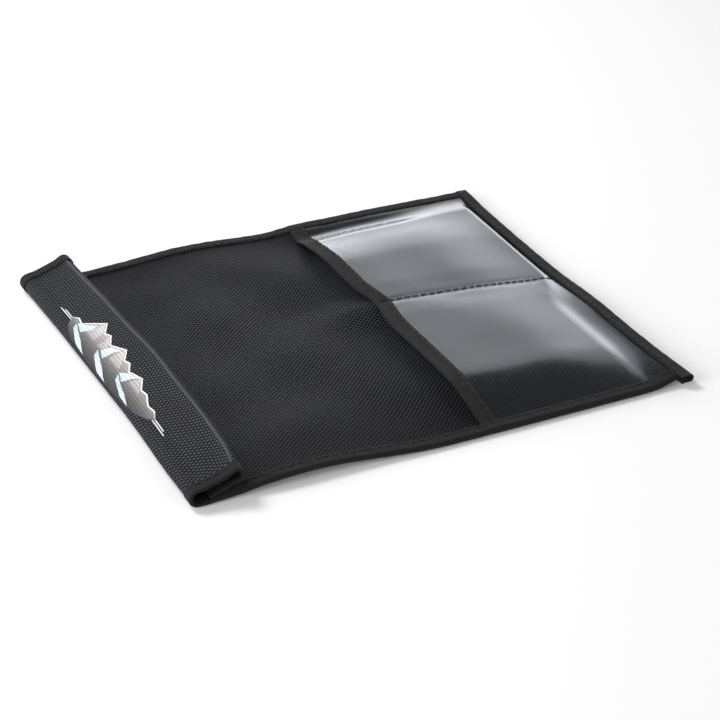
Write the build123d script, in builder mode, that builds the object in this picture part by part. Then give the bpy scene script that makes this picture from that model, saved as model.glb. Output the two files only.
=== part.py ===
from build123d import *
import os
from math import cos, radians, sin, tan

# A flat storage pouch for climbing skins, lying closed with its flap folded over twice.
# Millimetres. X runs from the rolled flap (-X) to the sewn end (+X), Z is up, and the
# origin is on the ground under the middle of the pouch.

# Driving dimensions
HALF_LENGTH = 151.0  # roll's outer side and sewn end's outer side
HALF_WIDTH = 133.0  # outer sides of the side tapes
CLOTH = 0.8  # coated woven nylon
TAPE = 0.6  # one leg of the folded edging tape
TAPE_WIDTH = 8.0  # visible width of the folded tape
VINYL = 0.4
POCKET_GAP = 0.6  # air between the back and the front panel
TAPE_TAIL = 1.5  # end tape's cut ends stand out past the side tapes
BODY_GAP = 0.5  # clearance on each side of a fold, so that rigid bodies can turn

OUTER_FOLD_RADIUS = 4.2  # middle of the cloth, where the back turns up into the flap
INNER_FOLD_RADIUS = 3.2  # middle of the cloth, where the flap turns under
FLAP_SLOPE = 20.0  # degrees, the flap rises towards the pouch
FLAP_LENGTH = 22.5
TIP_LENGTH = 20.0

FRONT_START = -140.0  # mouth of the main pocket, under the roll
MOUTH_HEM = 12.0
HOOK_LOOP = 0.8
LOOP_START = -138.5
LOOP_WIDTH = 10.0
HOOK_WIDTH = 8.0
TIP_TAPE_WIDTH = 5.0

WINDOW_START = 22.0  # mouth of the two clear pockets
WINDOW_FULL = 85.0  # the clear sheet stands at its full height up to here
WINDOW_FLAT = 140.0  # and lies flat on the panel from here on
ARCH_RISE = 5.6  # clear sheet's height above the panel at its full height
DIVIDER_MOUTH_Y = 6.0  # seam between the two clear pockets, slightly askew
DIVIDER_END_Y = -2.0
DIVIDER_HALF_WIDTH = 1.5
ARCH_SIDE = 20.0  # the clear sheet rises from each seam to its full height over this width

STITCH_PITCH = 5.1
STITCH_LENGTH = 3.7
THREAD_WIDTH = 0.6
THREAD_RISE = 0.35
SEAM_INSET = 2.0  # from the tape's inner edge to its row of stitches
PRINT = 0.2

# Heights of the layers
BACK_LOW = TAPE
BACK_TOP = BACK_LOW + CLOTH
FRONT_LOW = BACK_TOP + POCKET_GAP
FRONT_TOP = FRONT_LOW + CLOTH
VINYL_TOP = FRONT_TOP + VINYL
SHEET_HALF_WIDTH = HALF_WIDTH - TAPE
SEAM_Y = HALF_WIDTH - TAPE_WIDTH
END_TAPE_START = HALF_LENGTH - TAPE_WIDTH

# The roll's layout in the X-Z plane, along the middle of the cloth
HALF_STACK = CLOTH / 2 + TAPE
OUTER_CENTRE = Vector(-HALF_LENGTH + OUTER_FOLD_RADIUS + HALF_STACK, OUTER_FOLD_RADIUS + HALF_STACK)
RISE = Vector(cos(radians(FLAP_SLOPE)), sin(radians(FLAP_SLOPE)))
OUTWARD = Vector(-RISE.Y, RISE.X)
FLAP_START = OUTER_CENTRE + OUTWARD * OUTER_FOLD_RADIUS
FLAP_END = FLAP_START + RISE * FLAP_LENGTH
INNER_CENTRE = FLAP_END - OUTWARD * INNER_FOLD_RADIUS
TIP_START = INNER_CENTRE - OUTWARD * INNER_FOLD_RADIUS
TIP_END = TIP_START - RISE * TIP_LENGTH
OUTER_FOLD_ANGLE = 180.0 - FLAP_SLOPE  # total turn of the outer fold
QUARTER_TURN = 90.0
UPPER_TURN = OUTER_FOLD_ANGLE - QUARTER_TURN


def fold_axis(start, tangent, inward, radius, turn):
    """Point in the X-Z plane about which a cloth arc unrolls to its own length."""
    half_arc = radius * radians(turn) / 2
    return start + tangent * half_arc + inward * (radius - half_arc / tan(radians(turn / 2)))


# Axes of the three folds, all along -Y
SPINE_FOLD = fold_axis(
    OUTER_CENTRE - Vector(0, OUTER_FOLD_RADIUS), Vector(-1, 0), Vector(0, 1), OUTER_FOLD_RADIUS, QUARTER_TURN
)
FLAP_FOLD = fold_axis(
    OUTER_CENTRE - Vector(OUTER_FOLD_RADIUS, 0), Vector(0, 1), Vector(1, 0), OUTER_FOLD_RADIUS, UPPER_TURN
)
TIP_FOLD = FLAP_END + RISE * (INNER_FOLD_RADIUS * radians(180.0) / 2) - OUTWARD * INNER_FOLD_RADIUS


# Each layer outline below is drawn in X and Z, from low to high outward of the middle of the
# cloth, where outward is away from the inside of the roll.

def straight_layer(start, end, outward, low, high):
    with BuildSketch(Plane.XY, mode=Mode.PRIVATE) as outline:
        with BuildLine():
            Polyline(
                start + outward * low, end + outward * low, end + outward * high, start + outward * high,
                close=True,
            )
        make_face()
    return outline.sketch


def curved_layer(centre, radius, start_angle, turn, low, high):
    with BuildSketch(Plane.XY, mode=Mode.PRIVATE) as outline:
        with BuildLine():
            inner = CenterArc(centre, radius + low, start_angle, turn)
            outer = CenterArc(centre, radius + high, start_angle, turn)
            Line(inner @ 0, outer @ 0)
            Line(inner @ 1, outer @ 1)
        make_face()
    return outline.sketch


def back_layer(low, high):
    middle = BACK_LOW + CLOTH / 2
    return straight_layer(
        Vector(OUTER_CENTRE.X + BODY_GAP, middle), Vector(HALF_LENGTH - TAPE, middle), Vector(0, -1), low, high
    )


def spine_layer(low, high):
    gap_angle = BODY_GAP / radians(1) / OUTER_FOLD_RADIUS
    return curved_layer(
        OUTER_CENTRE, OUTER_FOLD_RADIUS, QUARTER_TURN + FLAP_SLOPE + gap_angle,
        OUTER_FOLD_ANGLE - 2 * gap_angle, low, high,
    )


def flap_layer(low, high):
    return straight_layer(FLAP_START + RISE * BODY_GAP, FLAP_END, OUTWARD, low, high)


def tip_layer(low, high):
    gap_angle = BODY_GAP / radians(1) / INNER_FOLD_RADIUS
    fold = curved_layer(
        INNER_CENTRE, INNER_FOLD_RADIUS, FLAP_SLOPE - QUARTER_TURN, 2 * QUARTER_TURN - gap_angle, low, high
    )
    return fold + straight_layer(TIP_START, TIP_END, -OUTWARD, low, high)


def cloth_sheet(layer):
    """A sheet of the cloth across the pouch, between the outer folds of its side tapes."""
    with BuildPart() as sheet:
        with BuildSketch(Plane.XZ):
            add(layer(-CLOTH / 2, CLOTH / 2))
        extrude(amount=SHEET_HALF_WIDTH, both=True)
    return sheet.part


def rolled_tape(layer, side):
    """Edging tape folded round a single sheet's side edge: two legs and the fold between."""
    outer_side = side * HALF_WIDTH
    with BuildPart() as tape:
        with BuildSketch(Plane.XZ.offset(-outer_side)):
            add(layer(-HALF_STACK, HALF_STACK))
        extrude(amount=side * TAPE)
        for low, high in ((CLOTH / 2, HALF_STACK), (-HALF_STACK, -CLOTH / 2)):
            with BuildSketch(Plane.XZ.offset(-outer_side)):
                add(layer(low, high))
            extrude(amount=side * TAPE_WIDTH)
    return tape.part


def tape_section(stack_top, side):
    """Section of a side tape on the Y-Z plane round a stack of flat layers."""
    edge = side * HALF_WIDTH
    inside = side * SHEET_HALF_WIDTH
    seam = side * SEAM_Y
    with BuildSketch(Plane.XY, mode=Mode.PRIVATE) as outline:
        with BuildLine():
            Polyline(
                (seam, 0), (edge, 0), (edge, stack_top + TAPE), (seam, stack_top + TAPE),
                (seam, stack_top), (inside, stack_top), (inside, TAPE), (seam, TAPE), close=True,
            )
        make_face()
    return outline.sketch


def side_tape(side):
    """Side tape of the pouch's body, stepping up as each further layer joins the stack."""
    stretches = (
        (OUTER_CENTRE.X + BODY_GAP, FRONT_START, BACK_TOP),
        (FRONT_START, WINDOW_START, FRONT_TOP),
        (WINDOW_START, END_TAPE_START, VINYL_TOP),
    )
    with BuildPart() as tape:
        for start, end, stack_top in stretches:
            with BuildSketch(Plane.YZ.offset(start)):
                add(tape_section(stack_top, side))
            extrude(amount=end - start)
    return tape.part


def stitches(plane, places, turn=0.0):
    """A row of thread stitches standing on a plane, as separate solids."""
    with BuildPart() as row:
        with BuildSketch(plane):
            with Locations(*places):
                SlotOverall(STITCH_LENGTH, THREAD_WIDTH, rotation=turn)
        extrude(amount=THREAD_RISE)
    return row.part


def even_places(start, end):
    """Evenly spaced stitch centres between two ends, about one pitch apart."""
    count = int((end - start - STITCH_LENGTH) / STITCH_PITCH) + 1
    spare = end - start - (count - 1) * STITCH_PITCH
    return [start + spare / 2 + index * STITCH_PITCH for index in range(count)]


def side_seam(side):
    """Stitches along a side tape, on its two main levels."""
    seam_y = side * (SEAM_Y + SEAM_INSET)
    with BuildPart() as row:
        for start, end, stack_top in (
            (FRONT_START, WINDOW_START, FRONT_TOP),
            (WINDOW_START, END_TAPE_START, VINYL_TOP),
        ):
            with BuildSketch(Plane.XY.offset(stack_top + TAPE)):
                with Locations(*[(x, seam_y) for x in even_places(start, end)]):
                    SlotOverall(STITCH_LENGTH, THREAD_WIDTH)
            extrude(amount=THREAD_RISE)
    return row.part


def arch_face(rise, low, high, divider_y, half_width):
    """Section of a layer that lies flat at three seams and arches over two pockets."""
    seam = SEAM_Y - 1.0
    level = (Vector(1, 0), Vector(1, 0))
    with BuildSketch(Plane.XY, mode=Mode.PRIVATE) as outline:
        with BuildLine():
            for base in (FRONT_TOP + low, FRONT_TOP + high):
                crown = base + rise
                Line((-half_width, base), (-seam, base))
                for start, end in (
                    (-seam, divider_y - DIVIDER_HALF_WIDTH), (divider_y + DIVIDER_HALF_WIDTH, seam)
                ):
                    Spline((start, base), (start + ARCH_SIDE, crown), tangents=level)
                    Line((start + ARCH_SIDE, crown), (end - ARCH_SIDE, crown))
                    Spline((end - ARCH_SIDE, crown), (end, base), tangents=level)
                Line((divider_y - DIVIDER_HALF_WIDTH, base), (divider_y + DIVIDER_HALF_WIDTH, base))
                Line((seam, base), (half_width, base))
            for side_y in (-half_width, half_width):
                Line((side_y, FRONT_TOP + low), (side_y, FRONT_TOP + high))
        make_face()
    return outline.sketch


# Back of the pouch and its flap, one sheet in the cloth, divided here at the folds
pieces = []
for name, layer in (
    ("back_panel", back_layer), ("spine_panel", spine_layer), ("flap_panel", flap_layer),
    ("tip_panel", tip_layer),
):
    sheet = cloth_sheet(layer)
    sheet.label = name
    pieces.append(sheet)

# Hinges of the folds: each opens the roll by turning its piece, and all beyond it, about -Y
for name, piece, place, turn in (
    ("spine_fold", pieces[1], SPINE_FOLD, QUARTER_TURN),
    ("flap_fold", pieces[2], FLAP_FOLD, UPPER_TURN),
    ("tip_fold", pieces[3], TIP_FOLD, 2 * QUARTER_TURN),
):
    RevoluteJoint(name, piece, axis=Axis((place.X, 0, place.Y), (0, -1, 0)), angular_range=(0, turn))

# Front panel, its mouth edge turned under as a hem that rests on the back
with BuildPart() as front_panel:
    with BuildSketch(Plane.XZ):
        with BuildLine():
            Polyline(
                (FRONT_START, BACK_TOP), (FRONT_START + MOUTH_HEM, BACK_TOP), (FRONT_START + MOUTH_HEM, FRONT_LOW),
                (HALF_LENGTH - TAPE, FRONT_LOW), (HALF_LENGTH - TAPE, FRONT_TOP), (FRONT_START, FRONT_TOP),
                close=True,
            )
        make_face()
    extrude(amount=SHEET_HALF_WIDTH, both=True)
front_panel.part.label = "front_panel"

# Closure strips, hidden under the roll
with BuildPart() as loop_strip:
    with BuildSketch(Plane.XY.offset(FRONT_TOP)):
        with Locations((LOOP_START + LOOP_WIDTH / 2, 0)):
            Rectangle(LOOP_WIDTH, 2 * (SEAM_Y - BODY_GAP))
    extrude(amount=HOOK_LOOP)
loop_strip.part.label = "loop_strip"

tip_plane = Plane(
    origin=(TIP_END.X, 0, TIP_END.Y), x_dir=(RISE.X, 0, RISE.Y), z_dir=(-OUTWARD.X, 0, -OUTWARD.Y)
)
with BuildPart() as hook_strip:
    with BuildSketch(tip_plane.offset(CLOTH / 2)):
        with Locations((TIP_TAPE_WIDTH + BODY_GAP + HOOK_WIDTH / 2, 0)):
            Rectangle(HOOK_WIDTH, 2 * (SEAM_Y - BODY_GAP))
    extrude(amount=HOOK_LOOP)
hook_strip.part.label = "hook_strip"

# Clear sheet of the two windowed pockets: arched at the mouth, flat at the sewn end
with BuildPart() as clear_window:
    for start_x, start_rise, end_x, end_rise in (
        (WINDOW_START, ARCH_RISE, WINDOW_FULL, ARCH_RISE),
        (WINDOW_FULL, ARCH_RISE, WINDOW_FLAT, 0.0),
    ):
        for x, rise in ((start_x, start_rise), (end_x, end_rise)):
            share = (x - WINDOW_START) / (WINDOW_FLAT - WINDOW_START)
            divider_y = DIVIDER_MOUTH_Y + share * (DIVIDER_END_Y - DIVIDER_MOUTH_Y)
            with BuildSketch(Plane.YZ.offset(x)):
                add(arch_face(rise, 0.0, VINYL, divider_y, SHEET_HALF_WIDTH))
        loft(ruled=True)
    with BuildSketch(Plane.XY.offset(FRONT_TOP)):
        with Locations(((WINDOW_FLAT + HALF_LENGTH - TAPE) / 2, 0)):
            Rectangle(HALF_LENGTH - TAPE - WINDOW_FLAT, 2 * SHEET_HALF_WIDTH)
    extrude(amount=VINYL)
clear_window.part.label = "clear_window"

# Tape folded round the clear sheet's mouth edge
with BuildPart() as window_mouth_binding:
    with BuildSketch(Plane.YZ.offset(WINDOW_START - TAPE)):
        add(arch_face(ARCH_RISE, -TAPE, VINYL + TAPE, DIVIDER_MOUTH_Y, SEAM_Y))
    extrude(amount=TAPE_WIDTH + TAPE)
    add(clear_window.part, mode=Mode.SUBTRACT)
    with BuildSketch(Plane.XY.offset(FRONT_TOP)):
        with Locations((WINDOW_START + TAPE_WIDTH / 2, 0)):
            Rectangle(2 * TAPE_WIDTH, 2 * HALF_WIDTH)
    extrude(amount=-TAPE, mode=Mode.SUBTRACT)
window_mouth_binding.part.label = "window_mouth_binding"

# End tape, its cut ends standing out past both side tapes
with BuildPart() as end_binding:
    with BuildSketch(Plane.XZ):
        with BuildLine():
            Polyline(
                (END_TAPE_START, 0), (HALF_LENGTH, 0), (HALF_LENGTH, VINYL_TOP + TAPE),
                (END_TAPE_START, VINYL_TOP + TAPE), (END_TAPE_START, VINYL_TOP),
                (HALF_LENGTH - TAPE, VINYL_TOP), (HALF_LENGTH - TAPE, TAPE), (END_TAPE_START, TAPE), close=True,
            )
        make_face()
    extrude(amount=HALF_WIDTH + TAPE_TAIL, both=True)
end_binding.part.label = "end_binding"

# Tape folded round the flap's free edge, inside the roll
with BuildPart() as tip_end_binding:
    with BuildSketch(Plane.XZ):
        add(straight_layer(TIP_END - RISE * TAPE, TIP_END, OUTWARD, -HALF_STACK, HALF_STACK))
        for low, high in ((CLOTH / 2, HALF_STACK), (-HALF_STACK, -CLOTH / 2)):
            add(straight_layer(TIP_END, TIP_END + RISE * TIP_TAPE_WIDTH, OUTWARD, low, high))
    extrude(amount=SEAM_Y, both=True)
tip_end_binding.part.label = "tip_end_binding"

# Side tapes: one length on each side, divided at the folds
side_tapes = []
for side_name, side in (("far", 1), ("near", -1)):
    for name, tape in (
        ("side_binding", side_tape(side)),
        ("spine_binding", rolled_tape(spine_layer, side)),
        ("flap_binding", rolled_tape(flap_layer, side)),
        ("tip_binding", rolled_tape(tip_layer, side)),
    ):
        tape.label = f"{name}_{side_name}"
        side_tapes.append(tape)

# Seams
seams = []
flap_plane = Plane(
    origin=(FLAP_START.X, 0, FLAP_START.Y), x_dir=(RISE.X, 0, RISE.Y), z_dir=(OUTWARD.X, 0, OUTWARD.Y)
)
roll_seam_y = SEAM_Y + SEAM_INSET
for side_name, side in (("far", 1), ("near", -1)):
    body_row = side_seam(side)
    body_row.label = f"side_stitching_{side_name}"
    flap_row = stitches(
        flap_plane.offset(HALF_STACK), [(x, side * roll_seam_y) for x in even_places(BODY_GAP, FLAP_LENGTH)]
    )
    flap_row.label = f"flap_stitching_{side_name}"
    seams += [body_row, flap_row]

end_row = stitches(
    Plane.XY.offset(VINYL_TOP + TAPE),
    [(END_TAPE_START + SEAM_INSET, y) for y in even_places(-HALF_WIDTH, HALF_WIDTH)],
    turn=90.0,
)
end_row.label = "end_stitching"

loop_rows = stitches(
    Plane.XY.offset(FRONT_TOP + HOOK_LOOP),
    [
        (x, y)
        for x in (LOOP_START + 1.0, LOOP_START + LOOP_WIDTH - 1.0)
        for y in even_places(-SEAM_Y, SEAM_Y)
    ],
    turn=90.0,
)
loop_rows.label = "loop_stitching"

divider_slope = (DIVIDER_END_Y - DIVIDER_MOUTH_Y) / (WINDOW_FLAT - WINDOW_START)
divider_row = stitches(
    Plane.XY.offset(VINYL_TOP),
    [
        (x, DIVIDER_MOUTH_Y + (x - WINDOW_START) * divider_slope)
        for x in even_places(WINDOW_START + TAPE_WIDTH, END_TAPE_START)
    ],
)
divider_row.label = "divider_stitching"

crown_inset = ARCH_SIDE + DIVIDER_HALF_WIDTH
mouth_row_places = even_places(-SEAM_Y + crown_inset, DIVIDER_MOUTH_Y - crown_inset) + even_places(
    DIVIDER_MOUTH_Y + crown_inset, SEAM_Y - crown_inset
)
mouth_row = stitches(
    Plane.XY.offset(VINYL_TOP + ARCH_RISE + TAPE),
    [(WINDOW_START + TAPE_WIDTH - SEAM_INSET, y) for y in mouth_row_places],
    turn=90.0,
)
mouth_row.label = "window_mouth_stitching"
seams += [end_row, loop_rows, divider_row, mouth_row]

# Generic print on the flap: a plain ridge line of uneven peaks
with BuildPart() as flap_print:
    with BuildSketch(flap_plane.offset(CLOTH / 2)):
        with BuildLine():
            Polyline(
                (1, -74), (1, 80), (3, 80), (3, 52), (9, 38), (6, 30), (14, 16), (8, 4), (11, -4), (6, -14),
                (16, -32), (7, -46), (3, -52), (3, -74), close=True,
            )
        make_face()
    extrude(amount=PRINT)
flap_print.part.label = "flap_print"

pieces += [
    front_panel.part, loop_strip.part, hook_strip.part, clear_window.part, window_mouth_binding.part,
    end_binding.part, tip_end_binding.part, flap_print.part,
]
os.makedirs("parts", exist_ok=True)
for piece in pieces + side_tapes + seams:
    export_step(piece, f"parts/{piece.label}.step")
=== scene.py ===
from math import cos, pi, radians, sin

import bmesh
import bpy
import numpy as np
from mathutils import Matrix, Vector


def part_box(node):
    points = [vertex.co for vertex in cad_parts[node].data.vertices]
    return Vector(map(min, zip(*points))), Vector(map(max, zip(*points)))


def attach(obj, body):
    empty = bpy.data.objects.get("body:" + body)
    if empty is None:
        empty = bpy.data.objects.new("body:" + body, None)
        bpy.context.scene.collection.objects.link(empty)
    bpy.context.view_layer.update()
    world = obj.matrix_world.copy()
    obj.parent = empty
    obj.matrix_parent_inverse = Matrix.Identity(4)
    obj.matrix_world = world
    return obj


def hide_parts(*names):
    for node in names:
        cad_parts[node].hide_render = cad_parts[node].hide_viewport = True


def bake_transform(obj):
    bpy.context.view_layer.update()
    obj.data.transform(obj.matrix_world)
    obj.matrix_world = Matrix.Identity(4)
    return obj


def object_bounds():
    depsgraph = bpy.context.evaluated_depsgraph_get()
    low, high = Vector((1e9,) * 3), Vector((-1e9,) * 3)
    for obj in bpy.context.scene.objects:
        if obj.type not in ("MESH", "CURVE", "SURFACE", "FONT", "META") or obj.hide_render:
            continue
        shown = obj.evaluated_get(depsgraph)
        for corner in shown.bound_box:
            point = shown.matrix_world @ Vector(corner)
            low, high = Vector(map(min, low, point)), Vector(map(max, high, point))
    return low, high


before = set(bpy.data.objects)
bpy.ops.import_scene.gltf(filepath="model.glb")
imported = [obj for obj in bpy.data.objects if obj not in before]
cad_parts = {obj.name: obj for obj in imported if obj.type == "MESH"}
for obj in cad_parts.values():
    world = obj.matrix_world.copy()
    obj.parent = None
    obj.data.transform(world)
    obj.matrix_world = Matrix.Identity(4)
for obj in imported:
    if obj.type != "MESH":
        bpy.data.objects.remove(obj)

# A flat nylon storage pouch for climbing skins: taped edges, two clear pockets, a flap folded
# over twice. Lengths in the shape functions are millimetres and become metres in to_mesh().

CAD_LOW, CAD_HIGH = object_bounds()
MM = 0.001


def box_mm(node):
    """The corners of a CAD node's box, in millimetres."""
    low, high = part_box(node)
    return np.array(low) / MM, np.array(high) / MM


# ---- Places, read from the CAD ------------------------------------------------------------
back_low, back_high = box_mm("back_panel")
front_low, front_high = box_mm("front_panel")
window_low, window_high = box_mm("clear_window")
end_low, end_high = box_mm("end_binding")
side_low, side_high = box_mm("side_binding_far")
spine_low = box_mm("spine_panel")[0]
loop_low, loop_high = box_mm("loop_strip")

HALF_WIDTH = side_high[1]
SHEET_HALF = back_high[1]
RIGHT_END = end_high[0]
TAPE = HALF_WIDTH - SHEET_HALF
TAPE_WIDTH = side_high[1] - side_low[1]
CLOTH = back_high[2] - back_low[2]
BACK_MID = (back_low[2] + back_high[2]) / 2
FRONT_MID = front_high[2] - CLOTH / 2
VINYL = 0.4
VINYL_BASE = front_high[2] + VINYL / 2
MOUTH_X = window_low[0]
FRONT_START = front_low[0]
END_TAPE_START = end_low[0]
HALF_STACK = CLOTH / 2 + TAPE
SHIFT = 2.0  # the shaped cloth lies this much further right, which centres it on the CAD

# ---- The roll: middle line of the cloth in X and Z ----------------------------------------
OUTER_RADIUS = 4.2
INNER_RADIUS = 3.2
SLOPE = radians(20.0)
FLAP_LENGTH = 22.5
TIP_LENGTH = 20.0
FOLD_X = spine_low[0] + CLOTH / 2 + OUTER_RADIUS
OUTER_CENTRE = np.array([FOLD_X, BACK_MID + OUTER_RADIUS])
ALONG = np.array([cos(SLOPE), sin(SLOPE)])
OUTWARD = np.array([-sin(SLOPE), cos(SLOPE)])
FLAP_START = OUTER_CENTRE + OUTWARD * OUTER_RADIUS
FLAP_END = FLAP_START + ALONG * FLAP_LENGTH
INNER_CENTRE = FLAP_END - OUTWARD * INNER_RADIUS
TIP_START = INNER_CENTRE - OUTWARD * INNER_RADIUS
OUTER_ARC = OUTER_RADIUS * (pi - SLOPE)
INNER_ARC = INNER_RADIUS * pi
# Distance along the cloth from where the back leaves the ground
S_QUARTER = OUTER_RADIUS * pi / 2
S_FLAP = OUTER_ARC
S_CREASE = S_FLAP + FLAP_LENGTH
S_TIP = S_CREASE + INNER_ARC
S_END = S_TIP + TIP_LENGTH


def smooth(value, low, high):
    """0 below low, 1 above high, an even S between."""
    t = np.clip((value - low) / (high - low), 0.0, 1.0)
    return t * t * (3 - 2 * t)


def hump(value, centre, width):
    """1 at the centre, falling away evenly on both sides over the width."""
    return np.exp(-(((value - centre) / width) ** 2))


class Waves:
    """Smooth, seeded ripples in two directions: a sum of sines of nearby wavelengths."""

    def __init__(self, seed, length, count=7, stretch=1.0, lean=0.0):
        rng = np.random.default_rng(seed)
        angle = lean + rng.uniform(-pi, pi, count) * (1.0 if stretch == 1.0 else 0.12)
        size = 2 * pi / (length * rng.uniform(0.7, 1.5, count))
        self.kx = size * np.cos(angle)
        self.ky = size * np.sin(angle) * stretch
        self.phase = rng.uniform(0, 2 * pi, count)
        self.count = count

    def __call__(self, x, y):
        x, y = np.broadcast_arrays(np.asarray(x, float), np.asarray(y, float))
        turn = x[..., None] * self.kx + y[..., None] * self.ky + self.phase
        return np.sin(turn).sum(-1) / np.sqrt(self.count)


SLACK = Waves(3, 78.0)
CREASES = Waves(5, 30.0, stretch=0.35, lean=radians(62))
PUCKER = Waves(8, 9.0)


# ---- The pouch's body ---------------------------------------------------------------------
def lift(x, y):
    """How far the whole pouch stands off the ground: its edges wave a little."""
    far = smooth(y, 20, HALF_WIDTH)
    near = smooth(-y, 30, HALF_WIDTH)
    free = smooth(x, FOLD_X, FOLD_X + 40) * smooth(-x, -RIGHT_END, -RIGHT_END + 30)
    edge = 3.0 * far * hump(x, -50, 38) + 3.8 * near * hump(x, -86, 46)
    # the far edge beside the window and the near half of the sewn end curl up
    curl = 2.4 * smooth(y, HALF_WIDTH - 26, HALF_WIDTH - 7) * smooth(x, MOUTH_X - 20, MOUTH_X + 10)
    end_curl = 2.5 * smooth(x, END_TAPE_START - 16, END_TAPE_START + 4) * smooth(-y, -10, 50)
    return free * edge + curl * (1 - 0.7 * smooth(x, 60, RIGHT_END)) + end_curl


def divider_y(x):
    """The seam between the clear pockets runs slightly askew."""
    return 6.0 - 8.0 * (x - MOUTH_X) / (END_TAPE_START - MOUTH_X)


def pocket_rise(x, y):
    """How high the clear sheet would stand over the panel if the middle seam didn't hold it."""
    seam = HALF_WIDTH - TAPE_WIDTH
    strip = 9 - 6 * smooth(x, MOUTH_X, END_TAPE_START) + 0.8 * np.sin(x / 11)
    far_side = 0.72 * smooth(seam + 1 - strip - y, 0, 20) + 0.28 * smooth(seam - strip - y, 0, 62)
    fall = np.clip((-y - 86) / (seam - 85), 0, 1)
    near_side = 1 - (fall**2 * (1.6 - 0.6 * fall))
    nearer = smooth(-y, -10, 40)
    to_end = smooth(END_TAPE_START + 1 - 2 * nearer - x, 0, 7 + 15 * nearer)
    to_end = to_end * (0.6 + 0.4 * smooth(END_TAPE_START - x, 0, 70))
    height = 4.6 + 1.0 * hump(x, MOUTH_X, 60) + 0.8 * smooth(y, 0, 95)
    return height * far_side * near_side * to_end


def seam_hold(x, y):
    """How firmly the middle seam holds the clear sheet down: most at the seam, 0 away from it."""
    return 1 - smooth(abs(y - divider_y(x)), -2, 24)


def puff(x, y):
    """How far the front panel stands off the back between its seams."""
    inside = smooth(HALF_WIDTH - TAPE_WIDTH - abs(y), 0, 45)
    inside = inside * smooth(x, FRONT_START + 5, FRONT_START + 60) * smooth(END_TAPE_START - x, 0, 60)
    under_window = smooth(x, MOUTH_X - 25, MOUTH_X + 15)
    wave = 1.6 + (0.9 - 0.75 * under_window) * SLACK(x, y) + 1.3 * hump(x, MOUTH_X, 45)
    wave = wave * (1 - 0.75 * under_window * smooth(y, 60, 110))
    valley = 1.5 * hump(x, -92, 16) * smooth(y, 0, 90)
    drawn_up = 0.9 * pocket_rise(x, y) * seam_hold(x, y) * smooth(x, MOUTH_X - 60, MOUTH_X + 4)
    return inside * np.maximum(wave - valley, 0.0) + drawn_up


def place(x, y, height):
    """Where a flat point of the body lies: bowed in plan, and lifted."""
    x, y, height = np.broadcast_arrays(
        np.asarray(x, float), np.asarray(y, float), np.asarray(height, float)
    )
    across = y / HALF_WIDTH
    bow = -(3.0 + 2.6 * smooth(-y, 10, 110) + 3.4 * (1 - across**2)) * smooth(x, 70, RIGHT_END)
    mouth = (-5.0 + 3.4 * hump(y, 5, 15) + 3.0 * smooth(y, 92, 122)) * hump(x, MOUTH_X + 4, 42)
    belly = -4.2 * smooth(-y, 30, HALF_WIDTH) * smooth(x, -80, 0)
    belly = belly * (1 - 0.5 * smooth(x, 120, RIGHT_END))
    narrow = -3.3 * smooth(y, 50, HALF_WIDTH) * smooth(x, -30, 60)
    plan_x = x + bow + mouth - swell(FOLD_X - x, y) + SHIFT
    return np.stack([plan_x, y + belly + narrow, height + lift(x, y)], -1)


def bulge(x, y):
    """How far the clear sheet stands off the front panel."""
    height = pocket_rise(x, y) * (1 - seam_hold(x, y))
    groove = -0.35 * hump(y, divider_y(x), 3.0) * smooth(END_TAPE_START - x, 0, 20)
    beside_seam = hump(y, divider_y(x) - 6, 22) + 0.8 * hump(y, -HALF_WIDTH, 40)
    ripple = (0.05 + 0.16 * beside_seam * hump(x, MOUTH_X, 40)) * CREASES(x, y)
    return np.maximum(height + groove + ripple * smooth(height, 0, 3), 0.0)


def front_top(x, y):
    """Height of the front panel's middle."""
    return FRONT_MID + puff(x, y)


def vinyl_mid(x, y):
    """Height of the clear sheet's middle."""
    return VINYL_BASE + puff(x, y) + bulge(x, y)


# ---- The rolled flap ----------------------------------------------------------------------
def roll_line(s):
    """Middle line of the cloth and its outward direction, at distance s along it."""
    s = np.asarray(s, float)
    x = np.empty_like(s)
    z = np.empty_like(s)
    nx = np.empty_like(s)
    nz = np.empty_like(s)
    flat = s < 0
    x[flat], z[flat], nx[flat], nz[flat] = FOLD_X - s[flat], BACK_MID, 0.0, -1.0
    outer = (s >= 0) & (s < S_FLAP)
    turn = s[outer] / OUTER_RADIUS
    nx[outer], nz[outer] = -np.sin(turn), -np.cos(turn)
    x[outer] = OUTER_CENTRE[0] + OUTER_RADIUS * nx[outer]
    z[outer] = OUTER_CENTRE[1] + OUTER_RADIUS * nz[outer]
    flap = (s >= S_FLAP) & (s < S_CREASE)
    x[flap] = FLAP_START[0] + ALONG[0] * (s[flap] - S_FLAP)
    z[flap] = FLAP_START[1] + ALONG[1] * (s[flap] - S_FLAP)
    nx[flap], nz[flap] = OUTWARD
    inner = (s >= S_CREASE) & (s < S_TIP)
    turn = (s[inner] - S_CREASE) / INNER_RADIUS
    nx[inner] = OUTWARD[0] * np.cos(turn) + ALONG[0] * np.sin(turn)
    nz[inner] = OUTWARD[1] * np.cos(turn) + ALONG[1] * np.sin(turn)
    x[inner] = INNER_CENTRE[0] + INNER_RADIUS * nx[inner]
    z[inner] = INNER_CENTRE[1] + INNER_RADIUS * nz[inner]
    tip = s >= S_TIP
    x[tip] = TIP_START[0] - ALONG[0] * (s[tip] - S_TIP)
    z[tip] = TIP_START[1] - ALONG[1] * (s[tip] - S_TIP)
    nx[tip], nz[tip] = -OUTWARD
    return x, z, nx, nz


def swell(s, y):
    """How far the fold stands out to the left: most at its near end."""
    out = 1.1 + 0.9 * smooth(y, 60, HALF_WIDTH) + 2.1 * smooth(-y, 30, 110)
    return out * smooth(s, -40, 0) * (1 - smooth(s, S_QUARTER, S_CREASE))


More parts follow.
